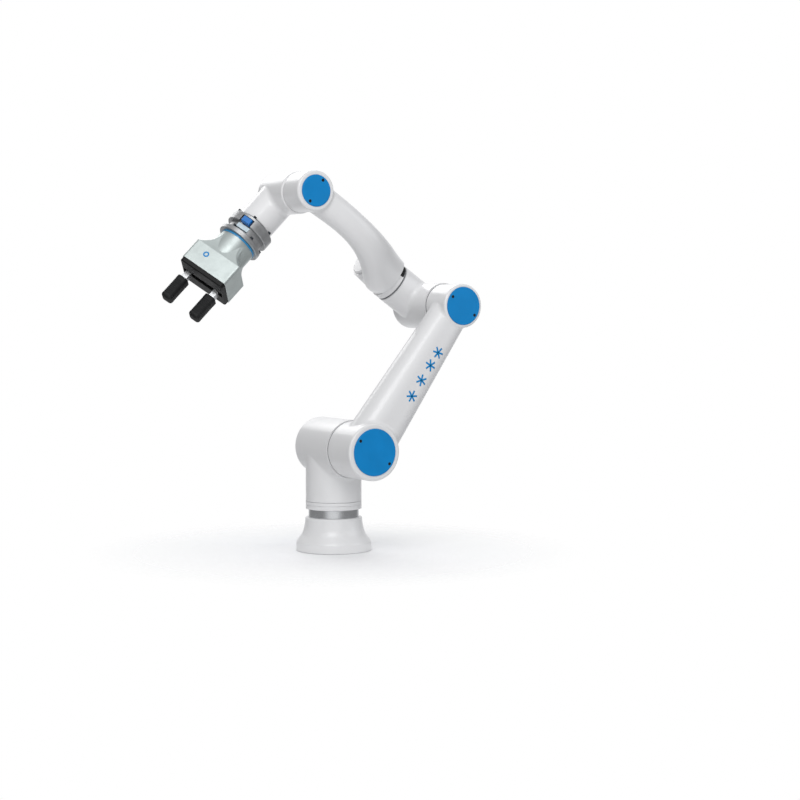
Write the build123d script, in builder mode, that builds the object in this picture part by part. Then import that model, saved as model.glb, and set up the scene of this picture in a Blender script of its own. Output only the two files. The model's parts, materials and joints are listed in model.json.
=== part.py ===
from build123d import *
from math import cos, pi, radians, sin
import os

os.makedirs("parts", exist_ok=True)

# A six-axis collaborative robot arm with a quick tool coupler and a parallel two-finger gripper.
# Millimetres. The origin is the centre of the base's underside, +Z is up along axis 1.
# The round blue covers of axes 2, 3 and 5 face -Y, the upper arm leans to +X and the tool is at -X.

# ---- Driving dimensions ----

SHOULDER_HEIGHT = 226.0       # axis 2 above the mounting face
UPPER_ARM_LENGTH = 380.0      # axis 2 to axis 3
FOREARM_LENGTH = 420.0        # axis 3 to axis 5
UPPER_ARM_TILT = 36.0         # upper arm from vertical, towards +X
FOREARM_TILT = 55.5           # forearm from vertical, towards -X
TOOL_TILT = 44.6              # tool axis from straight down, towards -X
TOOL_ROLL = 49.6              # turn of the gripper about its own axis

SEAM_1 = 91.0                 # height where the shoulder turns on the base
SEAM_2 = 86.0                 # distance of each seam in front of the arm's middle plane
SEAM_3 = 98.0
SEAM_4 = 92.0                 # distance of the forearm's seam from axis 3
SEAM_5 = 85.0
SEAM_6 = 96.0                 # distance of the tool flange's seam from axis 5
COUPLER_START = 100.0         # tool flange's face from axis 5
SEAM_RING = 3.0               # thickness of a seam ring
SETBACK = 2.0                 # each casing stops this far short of its seam
NOSE_GAP = 0.4                # daylight between the wrist's nose and the tool flange

WALL = 6.0                    # casting wall
BLEND = 12.0                  # fillet where two castings' cylinders meet
CAP_THICKNESS = 6.0           # round front covers
CAP_EDGE = 1.6                # rounding of a cover's rim
SEAT_DEPTH = 4.0              # how deep every round cover sits in its casting
CAP_SEAT = 0.2                # side clearance of a cap in its seat
FIT = 0.1                     # clearance of a unit in its bore
THREAD_FIT = 0.05             # clearance of a screw in its tapped hole
THROUGH = 150.0               # longer than any casting that a bore runs right through
RUNNING_GAP = 0.5             # clearance round what turns inside a casing

LARGE, MEDIUM, SMALL = 1.0, 0.86, 0.72   # the three sizes of drive unit
OUTPUT_RADIUS = 38.0          # drive unit of the large size: output flange
CUP_RADIUS = 34.0             # flexible cup
GEAR_RADIUS = 44.0            # outside of the rigid gear ring
STATOR_RADIUS = 42.0
DRIVE_LENGTH = 70.0
DRIVE_TAIL = 2.0              # rotor shaft's end outside the seam
HOLLOW_RADIUS = 6.0           # cable way through the rotor
RIGID_START, RIGID_LENGTH = 12.0, 18.0     # rigid gear ring, from the seam
STATOR_START, STATOR_LENGTH, STATOR_BORE = 36.0, 24.0, 26.0
FLANGE_DEPTH, CUP_LENGTH, CUP_WALL = 9.0, 20.0, 3.0

SCREW_HEAD_RADIUS, SCREW_HEAD_DEPTH, SCREW_RECESS = 3.4, 3.0, 3.4
SCREW_SHANK_RADIUS, SCREW_LENGTH = 2.0, 9.0
SCREW_KEY_RADIUS, SCREW_KEY_DEPTH = 1.9, 1.8   # hexagon socket
REAR_SCREW_ANGLE = 45.0       # where the two screws of each rear cover sit

# ---- Places worked out from them ----

FRONT = Vector(0, -1, 0)
BACK = Vector(0, 1, 0)
EAST = Vector(1, 0, 0)
UPPER_ARM_AXIS = Vector(sin(radians(UPPER_ARM_TILT)), 0, cos(radians(UPPER_ARM_TILT)))
FOREARM_AXIS = Vector(-sin(radians(FOREARM_TILT)), 0, cos(radians(FOREARM_TILT)))
TOOL_AXIS = Vector(-sin(radians(TOOL_TILT)), 0, -cos(radians(TOOL_TILT)))
TOOL_SIDE = Vector(cos(radians(TOOL_TILT)), 0, -sin(radians(TOOL_TILT)))
JAW_AXIS = FRONT * cos(radians(TOOL_ROLL)) + TOOL_SIDE * sin(radians(TOOL_ROLL))

SHOULDER = Vector(0, 0, SHOULDER_HEIGHT)
ELBOW = SHOULDER + UPPER_ARM_AXIS * UPPER_ARM_LENGTH
WRIST = ELBOW + FOREARM_AXIS * FOREARM_LENGTH


def facing_front(centre, y):
    """A plane square to Y at the given y, seen from the front, through an axis along Y."""
    return Plane(origin=(centre.X, y, centre.Z), x_dir=EAST, z_dir=FRONT)


def facing_back(centre, y):
    return Plane(origin=(centre.X, y, centre.Z), x_dir=-EAST, z_dir=BACK)


def across_upper_arm(along, y):
    return Plane(origin=SHOULDER + UPPER_ARM_AXIS * along + Vector(0, y, 0), x_dir=FRONT, z_dir=UPPER_ARM_AXIS)


def across_forearm(along, y=0.0):
    return Plane(origin=ELBOW + FOREARM_AXIS * along + Vector(0, y, 0), x_dir=FRONT, z_dir=FOREARM_AXIS)


def across_tool(along):
    """A plane square to the tool axis: its x runs along the jaws' travel, its y to the tool's top face."""
    return Plane(origin=WRIST + TOOL_AXIS * along, x_dir=JAW_AXIS, z_dir=TOOL_AXIS)


def outline_edges(builder):
    """The freely curved edges where two round castings run into each other."""
    curves = builder.edges().filter_by(GeomType.CIRCLE, reverse=True)
    return curves.filter_by(GeomType.LINE, reverse=True)


def save(part, name):
    part.label = name
    export_step(part, f"parts/{name}.step")


# ---- Parts that repeat: drive units, round covers and seam rings ----

STATOR_SLOTS = 12
ROTOR_POLES = 10


def drive_stator(plane, size):
    """Wound ring of a frameless motor. The plane is at the seam and faces into the casing."""
    with BuildPart() as stator:
        with BuildSketch(plane.offset(STATOR_START * size)):
            Circle(STATOR_RADIUS * size)
            Circle(STATOR_BORE * size, mode=Mode.SUBTRACT)
            with PolarLocations(30 * size, STATOR_SLOTS):
                Rectangle(12 * size, 5 * size, mode=Mode.SUBTRACT)
        extrude(amount=STATOR_LENGTH * size)
    return stator.part


def drive_rotor(plane, size):
    """Hollow shaft with the magnet ring and the oval wave generator."""
    with BuildPart() as rotor:
        with BuildSketch(plane.offset(-DRIVE_TAIL * size)):
            Circle(9 * size)
        extrude(amount=DRIVE_LENGTH * size)
        with BuildSketch(plane.offset(15 * size)):
            Ellipse(30.2 * size, 29.2 * size)
        extrude(amount=13 * size)
        with BuildSketch(plane.offset(38 * size)):
            RegularPolygon(24.5 * size, ROTOR_POLES)
        extrude(amount=20 * size)
        with BuildSketch(plane.offset(-DRIVE_TAIL * size)):
            Circle(HOLLOW_RADIUS * size)
        extrude(amount=DRIVE_LENGTH * size, mode=Mode.SUBTRACT)
    return rotor.part


def drive_gear_ring(plane, size):
    """Rigid ring gear of the strain-wave reducer, held in the casing's bore."""
    with BuildPart() as gear:
        with BuildSketch(plane.offset(RIGID_START * size)):
            Circle(GEAR_RADIUS * size)
            Circle((CUP_RADIUS + 0.6) * size, mode=Mode.SUBTRACT)
            with PolarLocations(39.5 * size, 8):
                Circle(1.7 * size, mode=Mode.SUBTRACT)
        extrude(amount=RIGID_LENGTH * size)
    return gear.part


def drive_output(plane, size, neck):
    """Output flange with the flexible cup. Its neck stands out of the seam into the next casting."""
    with BuildPart() as output:
        with BuildSketch(plane.offset(-neck)):
            Circle(OUTPUT_RADIUS * size)
            Circle(11 * size, mode=Mode.SUBTRACT)
            with PolarLocations(31 * size, 8):
                Circle(2.2 * size, mode=Mode.SUBTRACT)
        extrude(amount=neck + FLANGE_DEPTH * size)
        with BuildSketch(plane.offset(FLANGE_DEPTH * size)):
            Circle(CUP_RADIUS * size)
            Circle((CUP_RADIUS - CUP_WALL) * size, mode=Mode.SUBTRACT)
        extrude(amount=CUP_LENGTH * size)
    return output.part


def round_cap(plane, radius, thickness, screw_radius, screw_angle):
    """Round cover with a rounded edge and two counterbored screw holes. The plane is its inner face."""
    with BuildPart() as cap:
        with BuildSketch(plane):
            Circle(radius)
        extrude(amount=thickness)
        fillet(cap.edges().group_by(lambda edge: plane.to_local_coords(edge.center()).Z)[-1], CAP_EDGE)
        with BuildSketch(plane):
            with PolarLocations(screw_radius, 2, start_angle=screw_angle):
                Circle(SCREW_SHANK_RADIUS + FIT)
        extrude(amount=thickness, mode=Mode.SUBTRACT)
        with BuildSketch(plane.offset(thickness)):
            with PolarLocations(screw_radius, 2, start_angle=screw_angle):
                Circle(SCREW_HEAD_RADIUS + FIT)
        extrude(amount=-SCREW_RECESS, mode=Mode.SUBTRACT)
    return cap.part


def cap_screws(plane, thickness, screw_radius, screw_angle):
    """The two socket head screws of a round cover."""
    under_head = plane.offset(thickness - SCREW_RECESS)
    top = under_head.offset(SCREW_HEAD_DEPTH)
    with BuildPart() as screws:
        with BuildSketch(under_head):
            with PolarLocations(screw_radius, 2, start_angle=screw_angle):
                Circle(SCREW_HEAD_RADIUS)
        extrude(amount=SCREW_HEAD_DEPTH)
        with BuildSketch(under_head):
            with PolarLocations(screw_radius, 2, start_angle=screw_angle):
                Circle(SCREW_SHANK_RADIUS)
        extrude(amount=-SCREW_LENGTH)
        with BuildSketch(top):
            with PolarLocations(screw_radius, 2, start_angle=screw_angle):
                RegularPolygon(SCREW_KEY_RADIUS, 6)
        extrude(amount=-SCREW_KEY_DEPTH, mode=Mode.SUBTRACT)
    return screws.part


def screw_holes(plane, screw_radius, screw_angle):
    """Cuts the two tapped holes under a round cover's screws into the casting being built."""
    with BuildSketch(plane) as holes:
        with PolarLocations(screw_radius, 2, start_angle=screw_angle):
            Circle(SCREW_SHANK_RADIUS + THREAD_FIT)
    extrude(holes.sketch, amount=-SCREW_LENGTH, mode=Mode.SUBTRACT)


def bore(plane, radius, depth):
    """Cuts a round bore into the casting being built."""
    with BuildSketch(plane) as hole:
        Circle(radius)
    extrude(hole.sketch, amount=depth, mode=Mode.SUBTRACT)


def seam_ring(plane, outer, inner):
    """Dark sealing ring in a joint's seam. The plane is the casing's end face."""
    with BuildPart() as ring:
        with BuildSketch(plane):
            Circle(outer)
            Circle(inner, mode=Mode.SUBTRACT)
        extrude(amount=SEAM_RING)
    return ring.part


# ---- Base: flared foot, silver ring, underside cover and rear socket ----

BASE_RADIUS, BASE_RIM, BASE_TOP_RADIUS, BASE_TOP = 82.0, 18.0, 62.0, 73.0
BASE_BORE = 48.0
BASE_BOLT_CIRCLE, BASE_BOLT_RADIUS, BASE_BOLT_DEPTH = 146.0, 3.4, 14.0
BASE_ROOF = 8.0                          # thickness of the casting over the hollow
SOCKET_HEIGHT, SOCKET_RADIUS = 38.0, 13.0
SOCKET_END, SOCKET_FLOOR, SOCKET_WALL = 98.0, 72.0, 1.6
BOSS_START, BOSS_FACE, BOSS_SIDE = 52.0, 83.0, 44.0
RING_RADIUS = 55.0                       # silver ring between the base and the shoulder
CABLE_WAY = 14.0                         # radius of the cable way up through the base


def rear_plane(y):
    """A plane across the cable socket's axis, facing the back."""
    return Plane(origin=(0, y, SOCKET_HEIGHT), x_dir=-EAST, z_dir=BACK)


with BuildPart() as base_housing:
    with BuildSketch(Plane.XZ):
        with BuildLine():
            Line((BASE_BORE, 0), (BASE_RADIUS - 1, 0))
            Line((BASE_RADIUS - 1, 0), (BASE_RADIUS, 1))
            Line((BASE_RADIUS, 1), (BASE_RADIUS, BASE_RIM))
            Spline((BASE_RADIUS, BASE_RIM), (69, 38), (63.8, 56), (BASE_TOP_RADIUS, BASE_TOP - 1.5),
                   tangents=((-0.45, 1), (-0.05, 1)))
            Line((BASE_TOP_RADIUS, BASE_TOP - 1.5), (BASE_TOP_RADIUS - 1.5, BASE_TOP))
            Line((BASE_TOP_RADIUS - 1.5, BASE_TOP), (CABLE_WAY, BASE_TOP))
            Line((CABLE_WAY, BASE_TOP), (CABLE_WAY, BASE_TOP - BASE_ROOF))
            Line((CABLE_WAY, BASE_TOP - BASE_ROOF), (BASE_BORE, BASE_TOP - BASE_ROOF))
            Line((BASE_BORE, BASE_TOP - BASE_ROOF), (BASE_BORE, 0))
        make_face()
    revolve(axis=Axis.Z)
    with BuildSketch(Plane.XY):
        with PolarLocations(BASE_BOLT_CIRCLE / 2, 4, start_angle=45):
            Circle(BASE_BOLT_RADIUS)
    extrude(amount=BASE_BOLT_DEPTH, mode=Mode.SUBTRACT)
    # the boss that the cable socket is screwed to
    with BuildSketch(rear_plane(BOSS_START)):
        RectangleRounded(BOSS_SIDE, BOSS_SIDE, 6)
    extrude(amount=BOSS_FACE - BOSS_START)
    bore(rear_plane(BASE_BORE - 8), SOCKET_RADIUS + 2, BOSS_FACE)
save(base_housing.part, "base_housing")

with BuildPart() as base_cover:
    with BuildSketch(Plane.XY.offset(1)):
        Circle(BASE_BORE - FIT)
        Circle(CABLE_WAY, mode=Mode.SUBTRACT)
        with PolarLocations(40, 4):
            Circle(2, mode=Mode.SUBTRACT)
    extrude(amount=3)
save(base_cover.part, "base_cover")

with BuildPart() as base_socket:
    with BuildSketch(rear_plane(BOSS_FACE)):
        RectangleRounded(36, 36, 5)
    extrude(amount=3)
    with BuildSketch(rear_plane(SOCKET_FLOOR - 6)):
        Circle(SOCKET_RADIUS + SOCKET_WALL)
    extrude(amount=SOCKET_END - SOCKET_FLOOR + 6)
    bore(rear_plane(SOCKET_FLOOR), SOCKET_RADIUS, SOCKET_END - SOCKET_FLOOR)
save(base_socket.part, "base_socket")

with BuildPart() as base_ring:
    with BuildSketch(Plane.XY.offset(BASE_TOP)):
        Circle(RING_RADIUS)
        Circle(OUTPUT_RADIUS + FIT, mode=Mode.SUBTRACT)
    extrude(amount=SEAM_1 - BASE_TOP)
    fillet(base_ring.edges().filter_by(GeomType.CIRCLE).sort_by(SortBy.RADIUS)[-2:], 1)
save(base_ring.part, "base_ring")

# ---- Shoulder: upright and level cylinders in one casting, driving axes 1 and 2 ----

SHOULDER_RADIUS, SHOULDER_LEVEL_RADIUS = 61.0, 63.0
COLLAR_TOP = 108.6            # the collar ring ends and the casting's full width begins
COLLAR_GAP, COLLAR_WALL = 0.6, 6.0
COLLAR_GROOVE = 9.0           # height of the groove round the collar above the seam
SHOULDER_REAR, SHOULDER_ROUND = 63.0, 4.0
SHOULDER_CAP_RADIUS, SHOULDER_CAP_THICKNESS = 56.5, 12.0
SHOULDER_SCREW_CIRCLE = 47.5
seam_1 = Plane.XY.offset(SEAM_1)
seam_2 = Plane(origin=(0, -SEAM_2, SHOULDER_HEIGHT), x_dir=EAST, z_dir=BACK)
shoulder_front = SEAM_2 - SETBACK
shoulder_cap_plane = facing_back(SHOULDER, SHOULDER_REAR - SEAT_DEPTH)

with BuildPart() as shoulder_housing:
    with BuildSketch(facing_back(SHOULDER, -shoulder_front)):
        Circle(SHOULDER_LEVEL_RADIUS)
    extrude(amount=shoulder_front + SHOULDER_REAR)
    fillet(shoulder_housing.edges().filter_by(GeomType.CIRCLE).sort_by(Axis.Y)[-1], SHOULDER_ROUND)
    with BuildSketch(Plane.XY.offset(COLLAR_TOP)):
        Circle(SHOULDER_RADIUS)
    extrude(amount=SHOULDER_HEIGHT - COLLAR_TOP)
    fillet(outline_edges(shoulder_housing), BLEND)
    # the narrower foot that the collar is pushed onto
    with BuildSketch(Plane.XY.offset(SEAM_1 + COLLAR_GAP)):
        Circle(SHOULDER_RADIUS - COLLAR_WALL)
    extrude(amount=COLLAR_TOP - SEAM_1 + 2)
    bore(seam_1, OUTPUT_RADIUS + RUNNING_GAP, RIGID_START - 1)
    bore(seam_1.offset(RIGID_START - 1), GEAR_RADIUS + FIT, DRIVE_LENGTH + 2)
    bore(facing_back(SHOULDER, -shoulder_front), OUTPUT_RADIUS + RUNNING_GAP, RIGID_START - SETBACK)
    bore(facing_back(SHOULDER, -shoulder_front + RIGID_START - SETBACK - 1), GEAR_RADIUS + FIT, THROUGH)
    bore(shoulder_cap_plane, SHOULDER_CAP_RADIUS + CAP_SEAT, THROUGH)
    screw_holes(shoulder_cap_plane, SHOULDER_SCREW_CIRCLE, REAR_SCREW_ANGLE)
save(shoulder_housing.part, "shoulder_housing")

with BuildPart() as shoulder_collar:
    with BuildSketch(Plane.XY.offset(SEAM_1 + COLLAR_GAP)):
        Circle(SHOULDER_RADIUS)
        Circle(SHOULDER_RADIUS - COLLAR_WALL + FIT, mode=Mode.SUBTRACT)
    extrude(amount=COLLAR_TOP - SEAM_1 - 2 * COLLAR_GAP)
    with BuildSketch(Plane.XY.offset(SEAM_1 + COLLAR_GROOVE)):
        Circle(SHOULDER_RADIUS + 1)
        Circle(SHOULDER_RADIUS - 0.8, mode=Mode.SUBTRACT)
    extrude(amount=0.8, mode=Mode.SUBTRACT)
save(shoulder_collar.part, "shoulder_collar")

save(round_cap(shoulder_cap_plane, SHOULDER_CAP_RADIUS, SHOULDER_CAP_THICKNESS, SHOULDER_SCREW_CIRCLE,
               REAR_SCREW_ANGLE), "shoulder_rear_cap")
save(cap_screws(shoulder_cap_plane, SHOULDER_CAP_THICKNESS, SHOULDER_SCREW_CIRCLE, REAR_SCREW_ANGLE),
     "shoulder_cap_screws")
save(seam_ring(facing_front(SHOULDER, -shoulder_front), 60, 46), "axis_2_seam_ring")

# ---- Upper arm: two drums joined by a tapering oval beam, all in front of the seams of axes 2 and 3 ----

LOWER_DRUM_RADIUS, LOWER_DRUM_FRONT = 61.0, 182.0
UPPER_DRUM_RADIUS, UPPER_DRUM_FRONT = 47.5, 176.0
LOWER_CAP_RADIUS, UPPER_CAP_RADIUS = 50.0, 41.0
lower_drum_back = SEAM_2 + SETBACK
upper_drum_back = SEAM_3 + SETBACK
BEAM_LOW = (114.0, 84.0, 40.0)    # across the beam, front to back, corner radius
BEAM_HIGH = (82.0, 70.0, 33.0)
BEAM_MIDDLE = -136.0              # y of the beam's middle at the shoulder
BEAM_SWING = 2.0                  # the beam's other end stands this much further forward
DRUM_ROUND = 5.0                  # rounding of a drum's front rim
CAP_LEDGE = 13.0                  # width of the ledge behind a front cover
CAP_SCREW_INSET = 7.0             # a front cover's screws from its rim
upper_arm_screw_angle = 180 - UPPER_ARM_TILT

with BuildPart() as upper_arm_shell:
    with BuildSketch(facing_front(SHOULDER, -lower_drum_back)):
        Circle(LOWER_DRUM_RADIUS)
    extrude(amount=LOWER_DRUM_FRONT - lower_drum_back)
    with BuildSketch(facing_front(ELBOW, -upper_drum_back)):
        Circle(UPPER_DRUM_RADIUS)
    extrude(amount=UPPER_DRUM_FRONT - upper_drum_back)
    drum_rims = upper_arm_shell.edges().filter_by(GeomType.CIRCLE)
    fillet(drum_rims.filter_by_position(Axis.Y, -LOWER_DRUM_FRONT - 1, -UPPER_DRUM_FRONT + 1),
           DRUM_ROUND)
    with BuildSketch(across_upper_arm(0, BEAM_MIDDLE)):
        RectangleRounded(BEAM_LOW[1], BEAM_LOW[0], BEAM_LOW[2])
    with BuildSketch(across_upper_arm(UPPER_ARM_LENGTH, BEAM_MIDDLE - BEAM_SWING)):
        RectangleRounded(BEAM_HIGH[1], BEAM_HIGH[0], BEAM_HIGH[2])
    loft()
    fillet(outline_edges(upper_arm_shell), BLEND)
    with BuildSketch(across_upper_arm(20, BEAM_MIDDLE)):
        RectangleRounded(BEAM_LOW[1] - 2 * WALL, BEAM_LOW[0] - 2 * WALL, BEAM_LOW[2] - WALL)
    with BuildSketch(across_upper_arm(UPPER_ARM_LENGTH - 10, BEAM_MIDDLE - BEAM_SWING)):
        RectangleRounded(BEAM_HIGH[1] - 2 * WALL, BEAM_HIGH[0] - 2 * WALL, BEAM_HIGH[2] - WALL)
    loft(mode=Mode.SUBTRACT)
    for centre, back, front, size, cap_radius in (
            (SHOULDER, lower_drum_back, LOWER_DRUM_FRONT, LARGE, LOWER_CAP_RADIUS),
            (ELBOW, upper_drum_back, UPPER_DRUM_FRONT, MEDIUM, UPPER_CAP_RADIUS)):
        seat = facing_front(centre, -front + SEAT_DEPTH)
        inside = facing_front(centre, -back - WALL)
        bore(facing_front(centre, -back), OUTPUT_RADIUS * size + FIT, WALL)
        bore(inside, cap_radius + 1, front - back - 2 * WALL - SEAT_DEPTH)
        bore(inside, cap_radius - CAP_LEDGE, THROUGH)
        bore(seat, cap_radius + CAP_SEAT, THROUGH)
        screw_holes(seat, cap_radius - CAP_SCREW_INSET, upper_arm_screw_angle)
save(upper_arm_shell.part, "upper_arm_shell")

with BuildPart() as upper_arm_screws:
    for centre, front, cap_radius, name in (
            (SHOULDER, LOWER_DRUM_FRONT, LOWER_CAP_RADIUS, "upper_arm_lower_cap"),
            (ELBOW, UPPER_DRUM_FRONT, UPPER_CAP_RADIUS, "upper_arm_upper_cap")):
        seat = facing_front(centre, -front + SEAT_DEPTH)
        placed = (seat, CAP_THICKNESS, cap_radius - CAP_SCREW_INSET, upper_arm_screw_angle)
        save(round_cap(seat, cap_radius, *placed[1:]), name)
        add(cap_screws(*placed))
save(upper_arm_screws.part, "upper_arm_cap_screws")

# ---- Elbow: two crossing cylinders, driving axes 3 and 4 ----

ELBOW_RADIUS, ELBOW_REAR, ELBOW_ROUND = 50.0, 43.0, 3.0
ELBOW_COLLAR_RADIUS = 45.5
ELBOW_CAP_RADIUS, ELBOW_CAP_THICKNESS, ELBOW_SCREW_CIRCLE = 44.5, 12.0, 33.0
seam_3 = Plane(origin=(ELBOW.X, -SEAM_3, ELBOW.Z), x_dir=EAST, z_dir=BACK)
seam_4 = Plane(origin=ELBOW + FOREARM_AXIS * SEAM_4, x_dir=FRONT, z_dir=-FOREARM_AXIS)
elbow_front = SEAM_3 - SETBACK
elbow_collar = SEAM_4 - SETBACK
elbow_cap_plane = facing_back(ELBOW, ELBOW_REAR - SEAT_DEPTH)

with BuildPart() as elbow_housing:
    with BuildSketch(facing_back(ELBOW, -elbow_front)):
        Circle(ELBOW_RADIUS)
    extrude(amount=elbow_front + ELBOW_REAR)
    fillet(elbow_housing.edges().filter_by(GeomType.CIRCLE).sort_by(Axis.Y)[-1], ELBOW_ROUND)
    with BuildSketch(across_forearm(0)):
        Circle(ELBOW_COLLAR_RADIUS)
    extrude(amount=elbow_collar)
    fillet(outline_edges(elbow_housing), BLEND)
    bore(facing_back(ELBOW, -elbow_front), OUTPUT_RADIUS * MEDIUM + RUNNING_GAP, WALL)
    bore(facing_back(ELBOW, -elbow_front + WALL), GEAR_RADIUS * MEDIUM + FIT, THROUGH)
    bore(across_forearm(0), GEAR_RADIUS * MEDIUM + FIT, elbow_collar - WALL)
    bore(across_forearm(0), OUTPUT_RADIUS * MEDIUM + RUNNING_GAP, elbow_collar)
    bore(elbow_cap_plane, ELBOW_CAP_RADIUS + CAP_SEAT, THROUGH)
save(elbow_housing.part, "elbow_housing")

save(round_cap(elbow_cap_plane, ELBOW_CAP_RADIUS, ELBOW_CAP_THICKNESS, ELBOW_SCREW_CIRCLE, REAR_SCREW_ANGLE),
     "elbow_rear_cap")
save(seam_ring(facing_front(ELBOW, -elbow_front), 46.6, 40), "axis_3_seam_ring")
save(seam_ring(across_forearm(elbow_collar), 43.5, 37), "axis_4_seam_ring")

# ---- Forearm: a sleeve on axis 4, and a slim beam that swings forward to the drum of axis 5 ----

FOREARM_RADIUS, SLEEVE_END, SLEEVE_END_RADIUS = 45.0, 172.0, 38.0
sleeve_start = SEAM_4 + SETBACK
SLEEVE_COLLAR = 13.4          # length of the sleeve's plain round end
PLUG_START, PLUG_LENGTH, PLUG_ANGLE, PLUG_SPREAD = SEAM_4 + 3.5, 12.0, 32.0, 38.0
PLUG_PROUD, PLUG_DEPTH = 1.6, 2.0
DRUM_5_RADIUS, DRUM_5_FRONT = 42.5, 154.0
drum_5_back = SEAM_5 + SETBACK
WRIST_CAP_RADIUS, WRIST_CAP_LEDGE, WRIST_SCREW_INSET = 33.0, 11.0, 6.5
SLEEVE_CAP_RADIUS, SLEEVE_CAP_THICKNESS = 33.0, 7.0
WRIST_ROOM = 14.0             # room left round the wrist casting where the beam passes it
# distance from axis 3, y of the middle, rise above the line to axis 5, height, width, corner radius
FOREARM_SECTIONS = (
    (108.0, -12.0, 3.0, 88.0, 82.0, 39.0),
    (172.0, -62.0, -8.0, 92.0, 90.0, 41.0),
    (235.0, -108.0, -4.0, 71.0, 70.0, 32.0),
    (330.0, -123.0, 2.0, 63.0, 58.0, 27.5),
    (FOREARM_LENGTH, -120.0, 0.0, 64.0, 50.0, 24.0),
)
FOREARM_RISE = Vector(cos(radians(FOREARM_TILT)), 0, sin(radians(FOREARM_TILT)))
# short edges past this distance along the forearm are where the beam meets the drum
DRUM_JUNCTION, LONGEST_JUNCTION, DRUM_BLEND = 360.0, 150.0, 8.0
wrist_cap_plane = facing_front(WRIST, -DRUM_5_FRONT + SEAT_DEPTH)
drum_inside = facing_front(WRIST, -drum_5_back - WALL)


def forearm_beam(inset):
    with BuildPart() as beam:
        for along, y, rise, height, width, corner in FOREARM_SECTIONS:
            section = across_forearm(along, y)
            section.origin += FOREARM_RISE * rise
            with BuildSketch(section):
                RectangleRounded(width - 2 * inset, height - 2 * inset, corner - inset)
        loft()
    return beam.part


beam_outside = forearm_beam(0)
beam_clearance = forearm_beam(-0.3)
beam_inside = forearm_beam(WALL)

with BuildPart() as service_plug:
    with BuildSketch(across_forearm(PLUG_START)):
        with BuildLine():
            outer = CenterArc((0, 0), FOREARM_RADIUS + PLUG_PROUD, PLUG_ANGLE - PLUG_SPREAD / 2, PLUG_SPREAD)
            inner = CenterArc((0, 0), FOREARM_RADIUS - PLUG_DEPTH, PLUG_ANGLE - PLUG_SPREAD / 2, PLUG_SPREAD)
            Line(outer @ 0, inner @ 0)
            Line(outer @ 1, inner @ 1)
        make_face()
    extrude(amount=PLUG_LENGTH)
    plug_corners = service_plug.edges().filter_by(GeomType.LINE).filter_by(
        lambda edge: abs((edge % 0.5).dot(FOREARM_AXIS)) < 0.5)
    fillet(plug_corners, 2.4)
save(service_plug.part, "forearm_service_plug")

with BuildPart() as forearm_shell:
    with BuildSketch(across_forearm(sleeve_start)):
        Circle(FOREARM_RADIUS)
    with BuildSketch(across_forearm(SLEEVE_END)):
        Circle(SLEEVE_END_RADIUS)
    loft()
    with BuildSketch(across_forearm(sleeve_start)):
        Circle(FOREARM_RADIUS)
    extrude(amount=SLEEVE_COLLAR)
    with BuildSketch(facing_front(WRIST, -drum_5_back)):
        Circle(DRUM_5_RADIUS)
    extrude(amount=DRUM_5_FRONT - drum_5_back)
    fillet(forearm_shell.edges().filter_by(GeomType.CIRCLE).sort_by(Axis.Y)[0], DRUM_ROUND)
    add(beam_outside)
    junction = outline_edges(forearm_shell).filter_by(lambda edge: edge.length < LONGEST_JUNCTION)
    fillet(junction.filter_by(lambda edge: (edge.center() - ELBOW).dot(FOREARM_AXIS) > DRUM_JUNCTION), DRUM_BLEND)
    # the beam keeps clear of the wrist casting
    bore(facing_front(WRIST, 0), DRUM_5_RADIUS + WRIST_ROOM, drum_5_back)
    bore(across_forearm(sleeve_start), OUTPUT_RADIUS * MEDIUM + FIT, WALL)
    bore(across_forearm(sleeve_start + WALL), SLEEVE_END_RADIUS - WALL, SLEEVE_END - sleeve_start - 2 * WALL)
    add(beam_inside, mode=Mode.SUBTRACT)
    bore(facing_front(WRIST, -drum_5_back), OUTPUT_RADIUS * SMALL + FIT, WALL)
    bore(drum_inside, WRIST_CAP_RADIUS + 1, DRUM_5_FRONT - drum_5_back - 2 * WALL - SEAT_DEPTH)
    bore(drum_inside, WRIST_CAP_RADIUS - WRIST_CAP_LEDGE, THROUGH)
    bore(wrist_cap_plane, WRIST_CAP_RADIUS + CAP_SEAT, THROUGH)
    screw_holes(wrist_cap_plane, WRIST_CAP_RADIUS - WRIST_SCREW_INSET, FOREARM_TILT)
    add(service_plug.part, mode=Mode.SUBTRACT)
save(forearm_shell.part, "forearm_shell")

# the round cover on the sleeve's end, cut away where the beam passes
with BuildPart() as forearm_sleeve_cap:
    with BuildSketch(across_forearm(SLEEVE_END)):
        Circle(SLEEVE_CAP_RADIUS)
    extrude(amount=SLEEVE_CAP_THICKNESS)
    fillet(forearm_sleeve_cap.edges().group_by(lambda edge: edge.center().dot(FOREARM_AXIS))[-1], CAP_EDGE)
    add(beam_clearance, mode=Mode.SUBTRACT)
save(forearm_sleeve_cap.part, "forearm_sleeve_cap")

save(round_cap(wrist_cap_plane, WRIST_CAP_RADIUS, CAP_THICKNESS, WRIST_CAP_RADIUS - WRIST_SCREW_INSET,
               FOREARM_TILT), "forearm_wrist_cap")
save(cap_screws(wrist_cap_plane, CAP_THICKNESS, WRIST_CAP_RADIUS - WRIST_SCREW_INSET, FOREARM_TILT),
     "forearm_cap_screws")

# ---- Wrist: two crossing cylinders, driving axes 5 and 6 ----

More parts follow.
